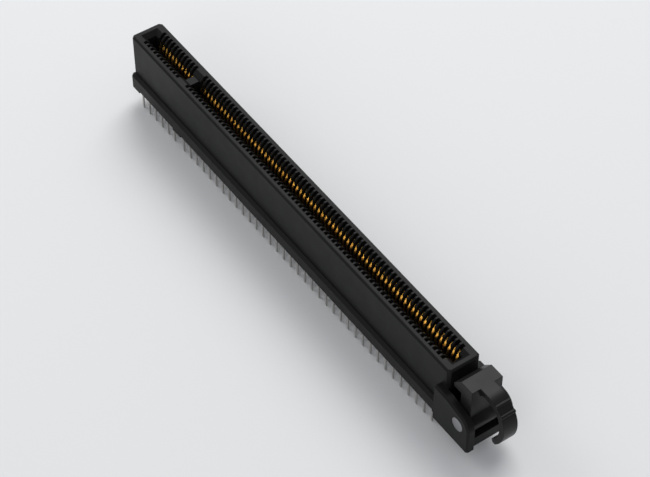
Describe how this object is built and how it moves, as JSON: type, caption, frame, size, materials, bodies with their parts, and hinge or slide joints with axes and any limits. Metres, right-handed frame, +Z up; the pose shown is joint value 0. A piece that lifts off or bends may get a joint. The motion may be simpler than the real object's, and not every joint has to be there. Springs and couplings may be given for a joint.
{
  "type": "expansion card slot",
  "caption": "Long upright card-edge slot for a circuit board, keyed near one end, with rows of spring contacts and a hinged retention latch at the other end.",
  "frame": {"origin": "centre of the locating peg under the key, on the circuit board's top face", "axes": "+X along the slot from the key's end to the latch, +Y across the slot, +Z up from the board"},
  "size_m": [0.1002, 0.009, 0.015],
  "materials": {
    "black_plastic": "moulded, glass filled, semi-matt",
    "latch_plastic": "moulded, slightly smoother than the housing",
    "steel": "bright drawn pin",
    "contact_metal": "plated spring metal"
  },
  "bodies": {
    "socket": {"housing_core": "black_plastic", "housing_side_a": "black_plastic", "housing_side_b": "black_plastic", "latch_pin": "steel", "contacts_a_01_to_11_inner": "contact_metal", "contacts_a_01_to_11_outer": "contact_metal", "contacts_a_12_to_18_inner": "contact_metal", "contacts_a_12_to_18_outer": "contact_metal", "contacts_a_19_to_32_inner": "contact_metal", "contacts_a_19_to_32_outer": "contact_metal", "contacts_a_33_to_49_inner": "contact_metal", "contacts_a_33_to_49_outer": "contact_metal", "contacts_a_50_to_82_inner": "contact_metal", "contacts_a_50_to_82_outer": "contact_metal", "contacts_b_01_to_11_inner": "contact_metal", "contacts_b_01_to_11_outer": "contact_metal", "contacts_b_12_to_18_inner": "contact_metal", "contacts_b_12_to_18_outer": "contact_metal", "contacts_b_19_to_32_inner": "contact_metal", "contacts_b_19_to_32_outer": "contact_metal", "contacts_b_33_to_49_inner": "contact_metal", "contacts_b_33_to_49_outer": "contact_metal", "contacts_b_50_to_82_inner": "contact_metal", "contacts_b_50_to_82_outer": "contact_metal"},
    "lever": {"latch_lever": "latch_plastic"}
  },
  "joints": [
    {"name": "latch_pivot", "type": "hinge", "parent": "socket", "child": "lever", "pos_m": [0.0787, 0, 0.0044], "axis": [0, 1, 0], "range_deg": [0, 28]}
  ]
}
